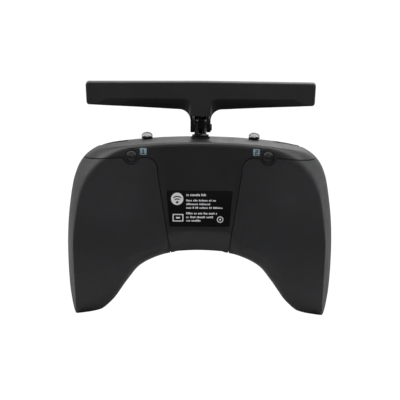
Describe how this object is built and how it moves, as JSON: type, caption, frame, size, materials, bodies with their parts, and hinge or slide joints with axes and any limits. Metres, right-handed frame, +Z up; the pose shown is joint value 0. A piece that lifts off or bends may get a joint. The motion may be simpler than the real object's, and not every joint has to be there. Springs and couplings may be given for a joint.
{
  "type": "radio transmitter controller",
  "caption": "Gamepad-shaped radio transmitter with rubber grips, two spring-centred gimbals, toggles, buttons, trims, a scroll wheel and a folding T antenna.",
  "frame": {"origin": "centre of the bounding box's base, between the two grip tips, with the antenna up", "axes": "+X to the right as seen from the back, +Y out of the face with the sticks, +Z up along the raised antenna; left and right in names are as seen from the back"},
  "size_m": [0.165, 0.0665, 0.1458],
  "materials": {
    "back_plastic": "fine textured black plastic",
    "front_plastic": "fine textured dark grey plastic",
    "grip_rubber": "soft matt rubber",
    "label": "printed film",
    "tag": "pale blue printed film",
    "screen_cover": "polished smoked window",
    "display": "display glass on its board",
    "circuit_board": "solder mask",
    "shield_metal": "tinned can",
    "battery_wrap": "shrink wrap",
    "black_plastic": "moulded black plastic",
    "steel": "plain steel",
    "gimbal_plastic": "moulded dark plastic",
    "bezel_plastic": "satin dark grey plastic",
    "dark_steel": "blackened steel",
    "light_pipe": "clear light guide",
    "cable_jacket": "thin black coaxial jacket",
    "aluminium": "turned",
    "stick_end_metal": "anodised and knurled",
    "toggle_chrome": "satin nickel",
    "key_plastic": "satin black plastic",
    "power_key": "satin grey plastic",
    "wheel_plastic": "knurled grey plastic",
    "gloss_black": "glossy black plastic",
    "antenna_plastic": "fine textured black plastic",
    "copper": "bare copper foil"
  },
  "bodies": {
    "body": {"rear_shell": "back_plastic", "front_shell": "front_plastic", "left_grip": "grip_rubber", "right_grip": "grip_rubber", "rear_label": "label", "switch_tags": "tag", "display_window": "screen_cover", "display_module": "display", "main_board": "circuit_board", "radio_module": "shield_metal", "battery_pack": "battery_wrap", "speaker": "black_plastic", "vibration_motor": "steel", "usb_socket": "steel", "trainer_jack": "black_plastic", "card_slot": "steel", "left_gimbal_frame": "gimbal_plastic", "right_gimbal_frame": "gimbal_plastic", "left_bezel": "bezel_plastic", "right_bezel": "bezel_plastic", "gimbal_springs": "steel", "gimbal_sensors": "circuit_board", "left_toggle_base": "black_plastic", "right_toggle_base": "black_plastic", "antenna_base": "black_plastic", "shell_screws": "dark_steel", "status_lights": "light_pipe", "antenna_coax": "cable_jacket", "key_board": "circuit_board", "button_switches": "black_plastic"},
    "left_gimbal_yoke": {"left_yoke": "gimbal_plastic"},
    "right_gimbal_yoke": {"right_yoke": "gimbal_plastic"},
    "left_control_stick": {"left_stick": "aluminium", "left_stick_end": "stick_end_metal"},
    "right_control_stick": {"right_stick": "aluminium", "right_stick_end": "stick_end_metal"},
    "left_toggle": {"left_toggle": "toggle_chrome"},
    "right_toggle": {"right_toggle": "toggle_chrome"},
    "left_shoulder_button": {"left_shoulder_button": "key_plastic"},
    "right_shoulder_button": {"right_shoulder_button": "key_plastic"},
    "left_rear_button": {"left_rear_button": "key_plastic"},
    "right_rear_button": {"right_rear_button": "key_plastic"},
    "left_vertical_trim": {"left_vertical_trim": "key_plastic"},
    "right_vertical_trim": {"right_vertical_trim": "key_plastic"},
    "left_horizontal_trim": {"left_horizontal_trim": "key_plastic"},
    "right_horizontal_trim": {"right_horizontal_trim": "key_plastic"},
    "power_button": {"power_button": "power_key"},
    "scroll_wheel": {"scroll_wheel": "wheel_plastic"},
    "menu_key": {"menu_key": "key_plastic"},
    "page_key": {"page_key": "key_plastic"},
    "exit_key": {"exit_key": "key_plastic"},
    "antenna_knuckle": {"antenna_knuckle": "gloss_black"},
    "antenna": {"hinge_screw": "dark_steel", "antenna_rear_cover": "antenna_plastic", "antenna_front_cover": "antenna_plastic", "antenna_element": "copper"}
  },
  "joints": [
    {"name": "left_stick_up_down", "type": "hinge", "parent": "body", "child": "left_gimbal_yoke", "pos_m": [-0.046, -0.00375, 0.076], "axis": [1, 0, 0], "range_deg": [-26, 26], "stiffness_Nm_per_rad": 0.08},
    {"name": "left_stick_side_to_side", "type": "hinge", "parent": "left_gimbal_yoke", "child": "left_control_stick", "pos_m": [-0.046, -0.00375, 0.076], "axis": [0, 0, 1], "range_deg": [-26, 26], "stiffness_Nm_per_rad": 0.08},
    {"name": "left_toggle_flick", "type": "hinge", "parent": "body", "child": "left_toggle", "pos_m": [-0.0336, 0.00225, 0.1068], "axis": [1, 0, 0], "range_deg": [-15, 15]},
    {"name": "right_stick_up_down", "type": "hinge", "parent": "body", "child": "right_gimbal_yoke", "pos_m": [0.046, -0.00375, 0.076], "axis": [1, 0, 0], "range_deg": [-26, 26]},
    {"name": "right_stick_side_to_side", "type": "hinge", "parent": "right_gimbal_yoke", "child": "right_control_stick", "pos_m": [0.046, -0.00375, 0.076], "axis": [0, 0, 1], "range_deg": [-26, 26], "stiffness_Nm_per_rad": 0.08},
    {"name": "right_toggle_flick", "type": "hinge", "parent": "body", "child": "right_toggle", "pos_m": [0.0336, 0.00225, 0.1068], "axis": [1, 0, 0], "range_deg": [-15, 15]},
    {"name": "left_shoulder_press", "type": "slide", "parent": "body", "child": "left_shoulder_button", "axis": [-0.1822, 0, 0.9833], "range_m": [0, 0.0008]},
    {"name": "right_shoulder_press", "type": "slide", "parent": "body", "child": "right_shoulder_button", "axis": [0.1822, 0, 0.9833], "range_m": [-0.0008, 0]},
    {"name": "left_rear_press", "type": "slide", "parent": "body", "child": "left_rear_button", "axis": [0, -1, 0], "range_m": [-0.001, 0], "stiffness_N_per_m": 500},
    {"name": "right_rear_press", "type": "slide", "parent": "body", "child": "right_rear_button", "axis": [0, -1, 0], "range_m": [-0.001, 0], "stiffness_N_per_m": 500},
    {"name": "left_vertical_trim_rock", "type": "hinge", "parent": "body", "child": "left_vertical_trim", "pos_m": [-0.0195, 0.00725, 0.068], "axis": [1, 0, 0], "range_deg": [-6, 6], "stiffness_Nm_per_rad": 0.05},
    {"name": "left_horizontal_trim_rock", "type": "hinge", "parent": "body", "child": "left_horizontal_trim", "pos_m": [-0.046, 0.00725, 0.0496], "axis": [0, 0, 1], "range_deg": [-6, 6], "stiffness_Nm_per_rad": 0.05},
    {"name": "right_vertical_trim_rock", "type": "hinge", "parent": "body", "child": "right_vertical_trim", "pos_m": [0.0195, 0.00725, 0.068], "axis": [1, 0, 0], "range_deg": [-6, 6], "stiffness_Nm_per_rad": 0.05},
    {"name": "right_horizontal_trim_rock", "type": "hinge", "parent": "body", "child": "right_horizontal_trim", "pos_m": [0.046, 0.00725, 0.0496], "axis": [0, 0, 1], "range_deg": [-6, 6], "stiffness_Nm_per_rad": 0.05},
    {"name": "power_press", "type": "slide", "parent": "body", "child": "power_button", "axis": [0, 1, 0], "range_m": [-0.0006, 0], "stiffness_N_per_m": 600},
    {"name": "menu_press", "type": "slide", "parent": "body", "child": "menu_key", "axis": [0, 1, 0], "range_m": [-0.0006, 0], "stiffness_N_per_m": 500},
    {"name": "page_press", "type": "slide", "parent": "body", "child": "page_key", "axis": [0, 1, 0], "range_m": [-0.0006, 0], "stiffness_N_per_m": 500},
    {"name": "exit_press", "type": "slide", "parent": "body", "child": "exit_key", "axis": [0, 1, 0], "range_m": [-0.0006, 0], "stiffness_N_per_m": 500},
    {"name": "scroll_wheel_spin", "type": "hinge", "parent": "body", "child": "scroll_wheel", "pos_m": [0, 0.00525, 0.071], "axis": [1, 0, 0], "continuous": true},
    {"name": "antenna_swivel", "type": "hinge", "parent": "body", "child": "antenna_knuckle", "pos_m": [0, -0.00475, 0.107], "axis": [0, 0, 1], "range_deg": [-90, 90]},
    {"name": "antenna_fold", "type": "hinge", "parent": "antenna_knuckle", "child": "antenna", "pos_m": [0, -0.00475, 0.1168], "axis": [1, 0, 0], "range_deg": [-85, 85]}
  ]
}
